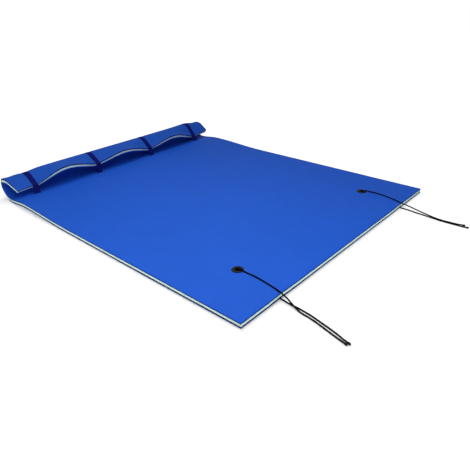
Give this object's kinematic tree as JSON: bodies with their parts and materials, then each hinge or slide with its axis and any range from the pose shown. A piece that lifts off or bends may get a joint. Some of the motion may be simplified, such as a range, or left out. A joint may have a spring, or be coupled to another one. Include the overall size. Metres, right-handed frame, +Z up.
{
  "type": "foam floating mat",
  "caption": "Rectangular laminated foam mat for floating on water, with one end folded back and strapped down as a pillow and tie cords through grommets at the other end.",
  "frame": {"origin": "centre of the footprint of the mat without its tie cords, on the surface that it lies on", "axes": "+X across the mat, +Y from the tie cords to the pillow, +Z up"},
  "size_m": [1.83, 2.6074, 0.1644],
  "materials": {
    "deck_foam": "closed-cell foam skin with a fine pebbled emboss, satin",
    "core_foam": "cut closed-cell foam, matte",
    "bottom_foam": "closed-cell foam skin with a fine pebbled emboss, satin",
    "webbing": "flat woven webbing, matte",
    "grommet": "moulded plastic, semi-gloss",
    "cord": "braided sheath over elastic, matte",
    "end_cap": "moulded plastic crimped on the cord, semi-gloss"
  },
  "bodies": {
    "root": {"bottom_foam_layer": "bottom_foam", "core_foam_layer": "core_foam", "top_foam_layer": "deck_foam", "pillow_strap_1": "webbing", "pillow_strap_2": "webbing", "pillow_strap_3": "webbing", "pillow_strap_4": "webbing", "left_grommet_flange": "grommet", "left_grommet_washer": "grommet", "right_grommet_flange": "grommet", "right_grommet_washer": "grommet", "left_cord_upper": "cord", "left_cord_lower": "cord", "right_cord_upper": "cord", "right_cord_lower": "cord", "left_end_cap_upper": "end_cap", "left_end_cap_lower": "end_cap", "right_end_cap_upper": "end_cap", "right_end_cap_lower": "end_cap"}
  },
  "joints": []
}
